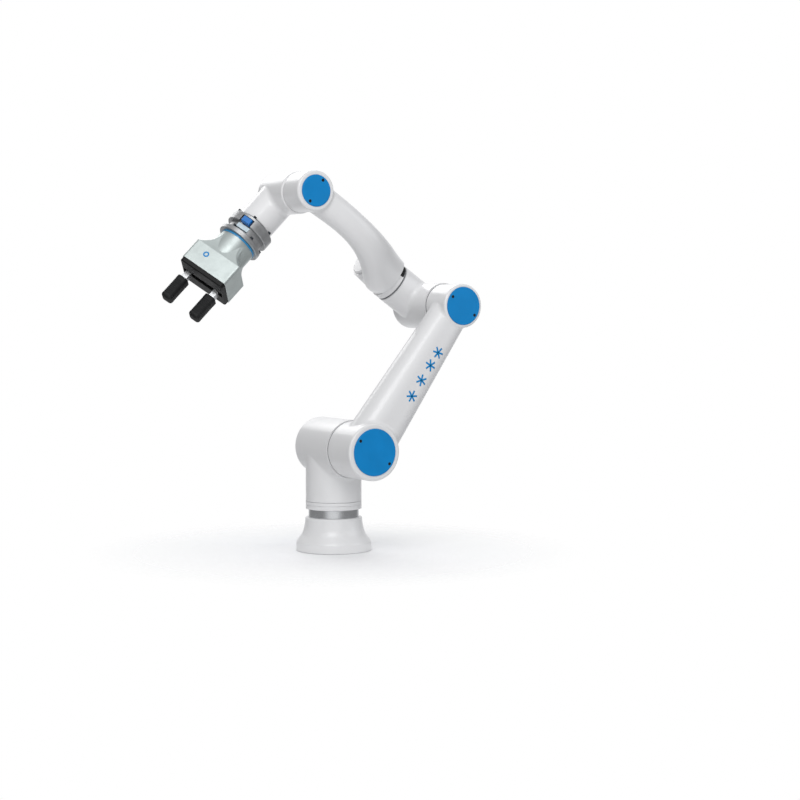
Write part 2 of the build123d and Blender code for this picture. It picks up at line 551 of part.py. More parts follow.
WRIST_RADIUS, WRIST_REAR, WRIST_ROUND = 44.5, 36.0, 10.0
WRIST_NOSE_RADIUS = 40.5
WRIST_REAR_CAP_RADIUS, WRIST_REAR_CAP_THICKNESS, WRIST_REAR_SCREW_CIRCLE = 33.0, 9.0, 26.0
WRIST_FRONT_ROUND = 4.0
seam_5 = Plane(origin=(WRIST.X, -SEAM_5, WRIST.Z), x_dir=EAST, z_dir=BACK)
seam_6 = Plane(origin=WRIST + TOOL_AXIS * SEAM_6, x_dir=JAW_AXIS, z_dir=-TOOL_AXIS)
wrist_front = SEAM_5 - SETBACK
wrist_nose = SEAM_6 - NOSE_GAP
wrist_rear_plane = facing_back(WRIST, WRIST_REAR - SEAT_DEPTH)

with BuildPart() as wrist_housing:
    with BuildSketch(facing_back(WRIST, -wrist_front)):
        Circle(WRIST_RADIUS)
    extrude(amount=wrist_front + WRIST_REAR)
    fillet(wrist_housing.edges().filter_by(GeomType.CIRCLE).sort_by(Axis.Y)[0], WRIST_FRONT_ROUND)
    fillet(wrist_housing.edges().filter_by(GeomType.CIRCLE).sort_by(Axis.Y)[-1], WRIST_ROUND)
    with BuildSketch(across_tool(0)):
        Circle(WRIST_NOSE_RADIUS)
    extrude(amount=wrist_nose)
    fillet(outline_edges(wrist_housing), BLEND)
    bore(facing_back(WRIST, -wrist_front), OUTPUT_RADIUS * SMALL + RUNNING_GAP, WALL)
    bore(facing_back(WRIST, -wrist_front + WALL), GEAR_RADIUS * SMALL + FIT, THROUGH)
    bore(across_tool(0), GEAR_RADIUS * SMALL + FIT, wrist_nose - WALL)
    bore(across_tool(0), OUTPUT_RADIUS * SMALL + RUNNING_GAP, wrist_nose)
    bore(wrist_rear_plane, WRIST_REAR_CAP_RADIUS + CAP_SEAT, THROUGH)
save(wrist_housing.part, "wrist_housing")
save(round_cap(wrist_rear_plane, WRIST_REAR_CAP_RADIUS, WRIST_REAR_CAP_THICKNESS, WRIST_REAR_SCREW_CIRCLE,
               REAR_SCREW_ANGLE), "wrist_rear_cap")
save(seam_ring(facing_front(WRIST, -wrist_front), 38.5, 33), "axis_5_seam_ring")

# ---- Drive units: two in each casting ----

DRIVES = {
    "shoulder": ((seam_1, LARGE), (seam_2, LARGE)),
    "elbow": ((seam_3, MEDIUM), (seam_4, MEDIUM)),
    "wrist": ((seam_5, SMALL), (seam_6, SMALL)),
}
for casting, units in DRIVES.items():
    for make, name in ((drive_stator, "motor_stators"), (drive_rotor, "motor_rotors"),
                       (drive_gear_ring, "gear_rings")):
        with BuildPart() as pair:
            for plane, size in units:
                add(make(plane, size))
        save(pair.part, f"{casting}_{name}")

# each output flange reaches from its drive unit to the casting that it turns
save(drive_output(seam_1, LARGE, SEAM_1 - BASE_TOP), "axis_1_output")
save(drive_output(seam_2, LARGE, SETBACK + WALL), "axis_2_output")
save(drive_output(seam_3, MEDIUM, SETBACK + WALL), "axis_3_output")
save(drive_output(seam_4, MEDIUM, SETBACK + WALL), "axis_4_output")
save(drive_output(seam_5, SMALL, SETBACK + WALL), "axis_5_output")
save(drive_output(seam_6, SMALL, COUPLER_START - SEAM_6), "axis_6_output")

# ---- Tool flange and quick coupler ----

COUPLER_SPLIT, COUPLER_END = 122.0, 150.0
COUPLER_RADIUS, COUPLER_WAIST = 50.0, 41.5
COUPLER_SCREW_CIRCLE = 45.6
FLANGE_RADIUS = 37.5
RIM_LENGTH = 11.0             # thick rim of the tool half, where its screws are
WINDOW_WIDTH, WINDOW_FLOOR, WINDOW_HEIGHT = 30.0, 34.0, 30.0
WINDOW_START, WINDOW_END = COUPLER_START + 6, COUPLER_SPLIT + 14
LEVER_WIDTH, LEVER_HEIGHT, LEVER_LENGTH = 22.0, 14.0, 12.0
COUPLER_SCREW_RADIUS, COUPLER_SCREW_HEAD, COUPLER_KEY_DEPTH = 3.6, 5.0, 2.5
LEVER_TRAVEL = 3.0
PLATE_THICKNESS, PLATE_LENGTH = 6.0, 10.0

with BuildPart() as tool_flange:
    with BuildSketch(across_tool(SEAM_6)):
        Circle(FLANGE_RADIUS)
        Circle(OUTPUT_RADIUS * SMALL + FIT, mode=Mode.SUBTRACT)
    extrude(amount=COUPLER_START - SEAM_6)
save(tool_flange.part, "tool_flange")

# the window that the release lever works in, open at the top face and across both halves
with BuildPart() as window:
    with BuildSketch(across_tool(WINDOW_START)):
        with Locations((0, WINDOW_FLOOR + WINDOW_HEIGHT / 2)):
            Rectangle(WINDOW_WIDTH, WINDOW_HEIGHT)
    extrude(amount=WINDOW_END - WINDOW_START)

with BuildPart() as coupler_robot_half:
    with BuildSketch(across_tool(COUPLER_START)):
        Circle(COUPLER_RADIUS)
    extrude(amount=COUPLER_SPLIT - COUPLER_START)
    chamfer(coupler_robot_half.edges().filter_by(GeomType.CIRCLE), 1)
    bore(across_tool(COUPLER_START), 16, COUPLER_SPLIT - COUPLER_START)
    add(window.part, mode=Mode.SUBTRACT)
save(coupler_robot_half.part, "coupler_robot_half")

with BuildPart() as coupler_tool_half:
    with BuildSketch(across_tool(COUPLER_SPLIT)):
        Circle(COUPLER_WAIST)
    extrude(amount=COUPLER_END - COUPLER_SPLIT)
    with BuildSketch(across_tool(COUPLER_END - RIM_LENGTH)):
        Circle(COUPLER_RADIUS)
    extrude(amount=RIM_LENGTH)
    round_edges = coupler_tool_half.edges().filter_by(GeomType.CIRCLE)
    rims = round_edges.filter_by(lambda edge: edge.radius > COUPLER_RADIUS - 1)
    chamfer(rims, 1)
    bore(across_tool(COUPLER_SPLIT), 14, COUPLER_END - COUPLER_SPLIT)
    add(window.part, mode=Mode.SUBTRACT)
save(coupler_tool_half.part, "coupler_tool_half")

with BuildPart() as coupler_screws:
    for start, offset in ((COUPLER_START, 20), (COUPLER_END - RIM_LENGTH, 50)):
        head = across_tool(start - COUPLER_SCREW_HEAD)
        with BuildSketch(head):
            with PolarLocations(COUPLER_SCREW_CIRCLE, 6, start_angle=offset):
                Circle(COUPLER_SCREW_RADIUS)
        extrude(amount=COUPLER_SCREW_HEAD)
        with BuildSketch(head):
            with PolarLocations(COUPLER_SCREW_CIRCLE, 6, start_angle=offset):
                RegularPolygon(COUPLER_SCREW_RADIUS / 2, 6)
        extrude(amount=COUPLER_KEY_DEPTH, mode=Mode.SUBTRACT)
save(coupler_screws.part, "coupler_screws")

with BuildPart() as coupler_plate:
    with BuildSketch(across_tool(COUPLER_SPLIT + 1)):
        with Locations((0, WINDOW_FLOOR + PLATE_THICKNESS / 2)):
            Rectangle(WINDOW_WIDTH - 1, PLATE_THICKNESS)
    extrude(amount=PLATE_LENGTH)
save(coupler_plate.part, "coupler_plate")

with BuildPart() as release_lever:
    with BuildSketch(across_tool(WINDOW_START + 2)):
        with Locations((0, WINDOW_FLOOR + LEVER_TRAVEL + RUNNING_GAP + LEVER_HEIGHT / 2)):
            RectangleRounded(LEVER_WIDTH, LEVER_HEIGHT, 3)
    extrude(amount=LEVER_LENGTH)
    fillet(release_lever.faces().sort_by(lambda face: face.center().dot(TOOL_AXIS))[-1].edges(), 1.2)
save(release_lever.part, "release_button")

# ---- Gripper body ----

NECK_START, HEAD_START, HEAD_END, CAVITY_START = 153.5, 207.0, 256.0, 213.0
NECK_RADIUS = 41.5
HEAD_WIDTH, HEAD_HEIGHT, HEAD_CORNER = 114.0, 86.0, 5.0
HEAD_WALL = 3.0               # end walls of the head
CAVITY_HEIGHT = 64.0
FACE_THICKNESS = 10.0
SLOT_HEIGHT = 18.0
# distance past the neck's start, width and height of the flare between the neck and the head
FLARE = ((6.0, 60.0, 66.0), (34.0, 74.0, 76.0))
FLARE_CORNER = 8.0
MOTOR_RADIUS, MOTOR_FLANGE_RADIUS = 24.0, 26.9

with BuildPart() as light_ring:
    with BuildSketch(across_tool(COUPLER_END)):
        Circle(NECK_RADIUS + 0.8)
        Circle(NECK_RADIUS - 7.5, mode=Mode.SUBTRACT)
    extrude(amount=NECK_START - COUPLER_END)
save(light_ring.part, "gripper_light_ring")

with BuildPart() as gripper_body:
    with BuildSketch(across_tool(NECK_START)):
        Circle(NECK_RADIUS)
    extrude(amount=HEAD_START - 6 - NECK_START)
    for along, width, height in FLARE:
        with BuildSketch(across_tool(NECK_START + along)):
            RectangleRounded(width, height, FLARE_CORNER)
    with BuildSketch(across_tool(HEAD_START)):
        RectangleRounded(HEAD_WIDTH, HEAD_HEIGHT, HEAD_CORNER)
    loft()
    with BuildSketch(across_tool(HEAD_START)):
        RectangleRounded(HEAD_WIDTH, HEAD_HEIGHT, HEAD_CORNER)
    extrude(amount=HEAD_END - HEAD_START)
    bore(across_tool(NECK_START), MOTOR_FLANGE_RADIUS + FIT, CAVITY_START - NECK_START + 2)
    with BuildSketch(across_tool(CAVITY_START)):
        Rectangle(HEAD_WIDTH - 2 * HEAD_WALL, CAVITY_HEIGHT)
    extrude(amount=HEAD_END - CAVITY_START, mode=Mode.SUBTRACT)
save(gripper_body.part, "gripper_body")

with BuildPart() as gripper_face:
    with BuildSketch(across_tool(HEAD_END)):
        RectangleRounded(HEAD_WIDTH - 2, HEAD_HEIGHT - 2, HEAD_CORNER + 2)
    extrude(amount=FACE_THICKNESS)
    fillet(gripper_face.faces().sort_by(lambda face: face.center().dot(TOOL_AXIS))[-1].edges(), 3)
    with BuildSketch(across_tool(HEAD_END)):
        Rectangle(HEAD_WIDTH - 10, SLOT_HEIGHT)
    extrude(amount=FACE_THICKNESS, mode=Mode.SUBTRACT)
save(gripper_face.part, "gripper_face_plate")

# ---- Gripper drive: motor, pinion and two racks ----

MODULE, TEETH = 1.5, 14
PITCH_RADIUS = MODULE * TEETH / 2
TOOTH_PITCH = pi * MODULE
TOOTH_ROOT, TOOTH_TIP = 1.7, 1.0        # tooth widths, thin enough to run with easy backlash
GEAR_START, GEAR_WIDTH = 222.0, 8.0
MOTOR_START, MOTOR_END, MOTOR_FLANGE = 158.0, 208.0, 5.0
SHAFT_RADIUS, SHAFT_DEPTH = 3.0, 8.0    # pinion shaft, and how deep it sits in the motor
RAIL_START, RAIL_THICKNESS, RAIL_WIDTH, RAIL_PLAY = 233.0, 8.0, 9.0, 0.4
CARRIAGE_START, CARRIAGE_LENGTH, CARRIAGE_WIDTH = 231.5, 18.0, 28.0
STEM_START, JAW_STEM_END = 242.0, 284.0
FINGER_END, FINGER_WIDTH, FINGER_HEIGHT, FINGER_CORNER = 343.0, 26.0, 28.0, 8.0
RACK_LONG, RACK_SHORT = 44.0, 20.0      # how far a rack reaches to either side of the pinion
RACK_BACK = 3.3                         # thickness of a rack behind its teeth
RACK_MIDDLE = PITCH_RADIUS + 3.35       # middle of that thickness from the tool axis
RACK_TEETH = range(-4, 9)
LINK_LENGTH = 12.0                      # from the rack's side to inside the carriage
JAW_PLACE = 37.0                        # each jaw's middle from the tool axis, at rest
JAW_WIDTH = 14.0

with BuildPart() as gripper_motor:
    with BuildSketch(across_tool(MOTOR_START)):
        Circle(MOTOR_RADIUS)
    extrude(amount=MOTOR_END - MOTOR_START)
    with BuildSketch(across_tool(MOTOR_END)):
        Circle(MOTOR_FLANGE_RADIUS)
    extrude(amount=MOTOR_FLANGE)
    bore(across_tool(MOTOR_END - SHAFT_DEPTH - 2), SHAFT_RADIUS + FIT, THROUGH)
save(gripper_motor.part, "gripper_motor")

with BuildPart() as gripper_pinion:
    with BuildSketch(across_tool(GEAR_START)):
        Circle(PITCH_RADIUS - 1.9)
        for tooth in range(TEETH):
            with BuildLine():
                Polyline(*[(Vector(x, y).rotate(Axis.Z, 90 + tooth * 360 / TEETH)) for x, y in (
                    (PITCH_RADIUS - 2.6, -TOOTH_ROOT / 2), (PITCH_RADIUS + 1.3, -TOOTH_TIP / 2),
                    (PITCH_RADIUS + 1.3, TOOTH_TIP / 2), (PITCH_RADIUS - 2.6, TOOTH_ROOT / 2))], close=True)
            make_face()
    extrude(amount=GEAR_WIDTH)
    with BuildSketch(across_tool(MOTOR_END - SHAFT_DEPTH)):
        Circle(SHAFT_RADIUS)
    extrude(amount=GEAR_START + GEAR_WIDTH - MOTOR_END + SHAFT_DEPTH)
save(gripper_pinion.part, "gripper_pinion")

with BuildPart() as guide_rail:
    with BuildSketch(across_tool(RAIL_START)):
        Rectangle(HEAD_WIDTH - 2 * HEAD_WALL - 2 * FIT, RAIL_WIDTH)
    extrude(amount=RAIL_THICKNESS)
save(guide_rail.part, "gripper_guide_rail")


def jaw(side):
    """Carriage on the guide rail, with its rack beside the pinion and its stem out of the face plate."""
    with BuildPart() as carriage:
        with BuildSketch(across_tool(CARRIAGE_START)):
            with Locations((side * JAW_PLACE, 0)):
                Rectangle(JAW_WIDTH, CARRIAGE_WIDTH)
        extrude(amount=CARRIAGE_LENGTH)
        # groove that runs on the rail
        with BuildSketch(across_tool(RAIL_START - RAIL_PLAY)):
            with Locations((side * JAW_PLACE, 0)):
                Rectangle(JAW_WIDTH + 2, RAIL_WIDTH + 2 * RAIL_PLAY)
        extrude(amount=RAIL_THICKNESS + 2 * RAIL_PLAY, mode=Mode.SUBTRACT)
        with BuildSketch(across_tool(STEM_START)):
            with Locations((side * JAW_PLACE, 0)):
                RectangleRounded(JAW_WIDTH, SLOT_HEIGHT - 2, 1.5)
        extrude(amount=JAW_STEM_END - STEM_START)
        # rack: its back is solid, its teeth face the pinion
        with BuildSketch(across_tool(GEAR_START)):
            with Locations((side * (RACK_LONG - RACK_SHORT) / 2, -side * RACK_MIDDLE)):
                Rectangle(RACK_LONG + RACK_SHORT, RACK_BACK)
            for tooth in RACK_TEETH:
                middle = side * (tooth + 0.5) * TOOTH_PITCH
                with BuildLine():
                    Polyline((middle - TOOTH_ROOT / 2, -side * (PITCH_RADIUS + 2)),
                             (middle - TOOTH_TIP / 2, -side * (PITCH_RADIUS - 1.3)),
                             (middle + TOOTH_TIP / 2, -side * (PITCH_RADIUS - 1.3)),
                             (middle + TOOTH_ROOT / 2, -side * (PITCH_RADIUS + 2)), close=True)
                make_face()
        extrude(amount=GEAR_WIDTH)
        # link from rack to carriage
        with BuildSketch(across_tool(GEAR_START)):
            with Locations((side * JAW_PLACE, -side * RACK_MIDDLE)):
                Rectangle(JAW_WIDTH, RACK_BACK)
        extrude(amount=LINK_LENGTH)
    return carriage.part


def finger_pad(side):
    """Rubber-covered finger on the jaw's stem."""
    with BuildPart() as pad:
        with BuildSketch(across_tool(JAW_STEM_END)):
            with Locations((side * JAW_PLACE, 0)):
                RectangleRounded(FINGER_WIDTH, FINGER_HEIGHT, FINGER_CORNER)
        extrude(amount=FINGER_END - JAW_STEM_END)
        fillet(pad.faces().sort_by(lambda face: face.center().dot(TOOL_AXIS))[-1].edges(), 7)
        fillet(pad.faces().sort_by(lambda face: face.center().dot(TOOL_AXIS))[0].edges(), 3)
    return pad.part


for side, name in ((-1, "left"), (1, "right")):
    save(jaw(side), f"jaw_{name}")
    save(finger_pad(side), f"finger_pad_{name}")
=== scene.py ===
import bpy
import bmesh
import json
import math
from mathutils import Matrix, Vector
from mathutils.bvhtree import BVHTree


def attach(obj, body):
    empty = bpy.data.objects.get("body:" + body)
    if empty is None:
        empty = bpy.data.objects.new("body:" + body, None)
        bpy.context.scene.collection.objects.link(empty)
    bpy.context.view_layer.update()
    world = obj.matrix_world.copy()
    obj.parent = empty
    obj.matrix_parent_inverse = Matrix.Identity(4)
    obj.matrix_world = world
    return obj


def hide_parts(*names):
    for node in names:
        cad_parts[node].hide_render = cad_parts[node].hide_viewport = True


# Looks for the six-axis robot arm with its coupler and two-finger gripper. Metres, in the CAD frame.

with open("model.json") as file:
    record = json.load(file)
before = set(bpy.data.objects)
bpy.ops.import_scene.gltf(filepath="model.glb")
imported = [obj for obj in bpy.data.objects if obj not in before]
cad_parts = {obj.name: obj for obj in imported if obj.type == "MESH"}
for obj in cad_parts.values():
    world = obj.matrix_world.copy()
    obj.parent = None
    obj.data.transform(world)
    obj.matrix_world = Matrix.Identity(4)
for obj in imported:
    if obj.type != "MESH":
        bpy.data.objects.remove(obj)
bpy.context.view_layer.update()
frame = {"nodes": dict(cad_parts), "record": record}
nodes = frame["nodes"]
MM = 0.001


def joint(name):
    for entry in frame["record"]["behaviour"]["joints"]:
        if entry["name"] == name:
            return entry
    raise KeyError(name)


# ---- Places from the frame ----

TOOL = Vector(joint("axis_6")["axis"]).normalized()
JAW = Vector(joint("left_jaw_slide")["axis"]).normalized()
TOP = TOOL.cross(JAW).normalized()
WRIST = Vector(joint("axis_5")["pos_m"])
SHOULDER = Vector(joint("axis_2")["pos_m"])
ELBOW = Vector(joint("axis_3")["pos_m"])
ARM = (ELBOW - SHOULDER).normalized()


def tool_point(across, up, along):
    """A point in the tool's own axes, in mm: along the jaws' travel, towards the top face, along axis 6."""
    return WRIST + JAW * across * MM + TOP * up * MM + TOOL * along * MM


# ---- Materials: procedural, one recipe for each real finish ----

class Nodes:
    """Short hand for a material's node tree."""

    def __init__(self, name):
        self.material = bpy.data.materials.new(name)
        self.material.use_nodes = True
        self.tree = self.material.node_tree
        self.shader = self.tree.nodes["Principled BSDF"]
        self.coordinate = self.tree.nodes.new("ShaderNodeTexCoord").outputs["Object"]

    def add(self, kind, **values):
        node = self.tree.nodes.new(kind)
        for key, value in values.items():
            setattr(node, key, value)
        return node

    def link(self, source, target):
        self.tree.links.new(source, target)

    def noise(self, scale, detail=3.0, rough=0.55, vector=None, stretch=None):
        source = vector or self.coordinate
        if stretch:
            mapping = self.add("ShaderNodeMapping")
            mapping.inputs["Scale"].default_value = stretch
            self.link(source, mapping.inputs["Vector"])
            source = mapping.outputs["Vector"]
        noise = self.add("ShaderNodeTexNoise")
        noise.inputs["Scale"].default_value = scale
        noise.inputs["Detail"].default_value = detail
        noise.inputs["Roughness"].default_value = rough
        self.link(source, noise.inputs["Vector"])
        return noise.outputs["Fac"]

    def spread(self, value, low, high, start=0.3, end=0.7):
        mapped = self.add("ShaderNodeMapRange")
        mapped.inputs["From Min"].default_value = start
        mapped.inputs["From Max"].default_value = end
        mapped.inputs["To Min"].default_value = low
        mapped.inputs["To Max"].default_value = high
        self.link(value, mapped.inputs["Value"])
        return mapped.outputs["Result"]

    def mix(self, factor, first, second):
        mixed = self.add("ShaderNodeMix", data_type="RGBA")
        for socket, value in ((mixed.inputs[6], first), (mixed.inputs[7], second)):
            if isinstance(value, tuple):
                socket.default_value = (*value, 1.0)
            else:
                self.link(value, socket)
        self.link(factor, mixed.inputs[0])
        return mixed.outputs[2]

    def bump(self, height, strength, distance, below=None):
        node = self.add("ShaderNodeBump")
        node.inputs["Strength"].default_value = strength
        node.inputs["Distance"].default_value = distance
        self.link(height, node.inputs["Height"])
        if below is not None:
            self.link(below, node.inputs["Normal"])
        return node.outputs["Normal"]

    def soft_edge(self, radius):
        node = self.add("ShaderNodeBevel", samples=4)
        node.inputs["Radius"].default_value = radius
        return node.outputs["Normal"]

    def edge_mask(self, radius, start=0.02, end=0.25):
        """1 on edges, 0 on open faces: how far the rounded normal leaves the face's own."""
        geometry = self.add("ShaderNodeNewGeometry")
        dot = self.add("ShaderNodeVectorMath", operation="DOT_PRODUCT")
        self.link(self.soft_edge(radius), dot.inputs[0])
        self.link(geometry.outputs["Normal"], dot.inputs[1])
        away = self.add("ShaderNodeMath", operation="SUBTRACT")
        away.inputs[0].default_value = 1.0
        self.link(dot.outputs["Value"], away.inputs[1])
        return self.spread(away.outputs[0], 0.0, 1.0, start, end)


def finish(name, base, rough, metal=0.0, vary=0.04, scale=18.0, rough_vary=0.06, grain=900.0, bump=0.08,
           depth=0.0001, coat=0.0, coat_rough=0.1, edge=None, edge_radius=0.0012, stretch=None, soft=0.0,
           specular=0.5):
    """A painted, moulded or machined surface: uneven colour and gloss, fine grain, and lighter edges that
    are partly wear and partly a painted edge highlight.
    """
    n = Nodes(name)
    shader = n.shader
    darker = tuple(c * (1 - vary) for c in base)
    lighter = tuple(min(1.0, c * (1 + vary * 0.6)) for c in base)
    cloud = n.noise(scale, 4.0)
    colour = n.mix(n.spread(cloud, 0.0, 1.0), darker, lighter)
    # Edges lighten in patches towards the given edge colour: partly wear, partly a painted highlight on the
    # edges.
    if edge:
        wear_and_highlight_patches = n.noise(scale * 12, 2.0)
        edge_wear_and_highlight_mask = n.add("ShaderNodeMath", operation="MULTIPLY")
        n.link(n.edge_mask(edge_radius), edge_wear_and_highlight_mask.inputs[0])
        n.link(n.spread(wear_and_highlight_patches, 0.2, 1.0), edge_wear_and_highlight_mask.inputs[1])
        colour = n.mix(edge_wear_and_highlight_mask.outputs[0], colour, edge)
    n.link(colour, shader.inputs["Base Color"])
    fine = n.noise(grain, 2.0, stretch=stretch)
    smudge = n.noise(scale * 2.7, 5.0, 0.6)
    uneven = n.add("ShaderNodeMath", operation="ADD")
    n.link(n.spread(smudge, -rough_vary, rough_vary), uneven.inputs[0])
    n.link(n.spread(fine, rough - rough_vary * 0.4, rough + rough_vary * 0.4), uneven.inputs[1])
    n.link(uneven.outputs[0], shader.inputs["Roughness"])
    below = n.soft_edge(soft) if soft else None
    n.link(n.bump(fine, bump, depth, below), shader.inputs["Normal"])
    shader.inputs["Metallic"].default_value = metal
    shader.inputs["Specular IOR Level"].default_value = specular
    shader.inputs["Coat Weight"].default_value = coat
    shader.inputs["Coat Roughness"].default_value = coat_rough
    return n


def turned(name, base, rough, centre, axis, lines=2600.0, **more):
    """Metal turned on a lathe: fine rings round the axis."""
    n = finish(name, base, rough, metal=1.0, **more)
    offset = n.add("ShaderNodeVectorMath", operation="SUBTRACT")
    offset.inputs[1].default_value = centre
    n.link(n.coordinate, offset.inputs[0])
    along = n.add("ShaderNodeVectorMath", operation="DOT_PRODUCT")
    along.inputs[1].default_value = axis
    n.link(offset.outputs["Vector"], along.inputs[0])
    length = n.add("ShaderNodeVectorMath", operation="LENGTH")
    n.link(offset.outputs["Vector"], length.inputs[0])
    pair = n.add("ShaderNodeCombineXYZ")
    n.link(along.outputs["Value"], pair.inputs["X"])
    n.link(length.outputs["Value"], pair.inputs["Y"])
    rings = n.noise(lines, 2.0, vector=pair.outputs["Vector"])
    shader = n.shader
    fine_normal = shader.inputs["Normal"].links[0].from_socket
    n.link(n.bump(rings, 0.25, 0.00006, fine_normal), shader.inputs["Normal"])
    return n


WHITE = (0.785, 0.785, 0.79)
BLUE = (0.001, 0.225, 0.57)
# Each edge colour below is lighter than its base: worn edges with a painted edge highlight.
white_casting = finish("white_casting_paint", WHITE, 0.34, vary=0.018, scale=9, rough_vary=0.05, grain=1500,
                       bump=0.10, depth=0.00006, coat=0.35, coat_rough=0.12, soft=0.0012).material
white_collar = finish("white_collar_plastic", (0.785, 0.785, 0.79), 0.38, vary=0.02, scale=14,
                      rough_vary=0.05, grain=1900, bump=0.12, depth=0.00005, coat=0.2, soft=0.0006).material
blue_cap = finish("blue_cap_plastic", BLUE, 0.42, vary=0.07, scale=22, rough_vary=0.07, grain=2600,
                  bump=0.18, depth=0.00005, edge=(0.03, 0.33, 0.66), edge_radius=0.001,
                  specular=0.25).material
blue_button = finish("blue_button_plastic", (0.003, 0.17, 0.56), 0.3, vary=0.1, scale=60, grain=3000,
                     bump=0.1, depth=0.00005, coat=0.3, edge=(0.05, 0.4, 0.8), edge_radius=0.0008,
                     soft=0.0006).material
silver_ring = turned("silver_ring_turned", (0.66, 0.67, 0.68), 0.2, (0, 0, 0), (0, 0, 1), vary=0.05,
                     scale=16, grain=700, bump=0.05, stretch=(0.02, 0.02, 1.0)).material
machined = turned("machined_aluminium", (0.72, 0.73, 0.74), 0.3, WRIST, TOOL, vary=0.06, scale=40,
                  grain=1500, edge=(0.85, 0.86, 0.87), edge_radius=0.0008).material
coupler_metal = turned("coupler_anodised", (0.42, 0.425, 0.43), 0.42, WRIST, TOOL, vary=0.16, scale=85,
                       grain=1300, bump=0.2, depth=0.0001, rough_vary=0.1, edge=(0.72, 0.73, 0.74),
                       edge_radius=0.0012, soft=0.0006).material
gripper_metal = finish("gripper_bead_blast", (0.50, 0.55, 0.54), 0.42, metal=0.75, vary=0.07, scale=30,
                       rough_vary=0.07, grain=3200, bump=0.16, depth=0.00006, edge=(0.88, 0.9, 0.9),
                       edge_radius=0.0016, soft=0.0012).material
black_plastic = finish("black_plastic_face", (0.004, 0.0043, 0.0046), 0.46, vary=0.3, scale=50, grain=2400,
                       bump=0.3, depth=0.00008, edge=(0.03, 0.032, 0.034), edge_radius=0.001, soft=0.0008,
                       specular=0.25).material
black_rubber = finish("black_rubber", (0.007, 0.0075, 0.008), 0.6, vary=0.3, scale=70, grain=1700, bump=0.5,
                      depth=0.00012, rough_vary=0.1, edge=(0.025, 0.026, 0.028), edge_radius=0.0012,
                      specular=0.3).material
seal = finish("seal_rubber", (0.16, 0.165, 0.175), 0.5, vary=0.2, scale=60, grain=1500, bump=0.35,
              depth=0.0001).material
dark_screws = finish("dark_screw_steel", (0.02, 0.026, 0.034), 0.36, metal=0.6, vary=0.2, scale=150,
                     grain=3000, bump=0.15, edge=(0.2, 0.22, 0.25), edge_radius=0.0004).material
jaw_metal = finish("jaw_ground_steel", (0.66, 0.67, 0.68), 0.26, metal=1.0, vary=0.07, scale=60, grain=1200,
                   bump=0.16, depth=0.00008, stretch=(1.0, 0.06, 0.06), edge=(0.9, 0.9, 0.9),
                   edge_radius=0.0008, soft=0.0005).material
plate = finish("coupler_white_plate", (0.62, 0.74, 0.80), 0.4, vary=0.12, scale=120, grain=2600, bump=0.12,
               coat=0.2).material
light_ring = finish("light_ring_blue", (0.03, 0.30, 0.62), 0.25, vary=0.12, scale=70, grain=1800, bump=0.1,
                    coat=0.5).material
motor_can = finish("motor_can_steel", (0.33, 0.34, 0.35), 0.4, metal=0.9, vary=0.1, scale=40, grain=1500,
                   bump=0.2, edge=(0.6, 0.6, 0.6), edge_radius=0.0008).material
steel_gear = finish("gear_steel", (0.5, 0.5, 0.49), 0.28, metal=1.0, vary=0.1, scale=60, grain=1400,
                    bump=0.2, stretch=(0.1, 1.0, 0.1), edge=(0.75, 0.75, 0.74), edge_radius=0.0006).material
copper = finish("winding_copper", (0.75, 0.33, 0.15), 0.34, metal=1.0, vary=0.2, scale=120, grain=900,
                bump=0.6, depth=0.0003, stretch=(1.0, 1.0, 0.15)).material
cover_plate = finish("cover_plate_grey", (0.33, 0.335, 0.34), 0.5, vary=0.12, scale=50, grain=1300,
                     bump=0.3, edge=(0.5, 0.5, 0.5), edge_radius=0.001).material
socket = finish("socket_nickel", (0.34, 0.345, 0.35), 0.33, metal=0.95, vary=0.1, scale=60, grain=1500,
                bump=0.2, edge=(0.62, 0.62, 0.62), edge_radius=0.0008, soft=0.0005).material

SLOT_MATERIALS = {
    "white_casting": white_casting, "white_collar": white_collar, "blue_cap": blue_cap,
    "blue_button": blue_button, "silver_ring": silver_ring, "machined_aluminium": machined,
    "coupler_metal": coupler_metal, "gripper_metal": gripper_metal, "black_plastic": black_plastic,
    "black_rubber": black_rubber, "seal": seal, "dark_screws": dark_screws, "jaw_metal": jaw_metal,
    "plate": plate, "light_ring": light_ring, "motor_can": motor_can, "steel_gear": steel_gear,
    "copper_winding": copper, "cover_plate": cover_plate, "socket": socket,
}
slot_nodes = {}
for part in frame["record"]["subparts"]:
    slot_nodes[part["node"]] = part["material_slot"]
for name, thing in nodes.items():
    material = SLOT_MATERIALS[slot_nodes[name]]
    if not thing.material_slots:
        thing.data.materials.append(material)
    for place in thing.material_slots:
        place.material = material


# ---- Pieces added to the CAD nodes ----

def piece(name, bm, material, body, smooth=True):
    """One new object from mesh code, riding on its body."""
    bmesh.ops.recalc_face_normals(bm, faces=bm.faces)
    mesh = bpy.data.meshes.new(name)
    bm.to_mesh(mesh)
    bm.free()
    if smooth:
        mesh.shade_smooth()
    thing = bpy.data.objects.new(name, mesh)
    bpy.context.scene.collection.objects.link(thing)
    thing.data.materials.append(material)
    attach(thing, body)
    return thing


def loft(bm, rings):
    """Skin over rings of points, closed at both ends."""
    rows = []
    for ring in rings:
        rows.append([bm.verts.new(point) for point in ring])
    for first, second in zip(rows, rows[1:]):
        for here in range(len(first)):
            after = (here + 1) % len(first)
            bm.faces.new((first[here], first[after], second[after], second[here]))
    bm.faces.new(rows[0])
    bm.faces.new(list(reversed(rows[-1])))


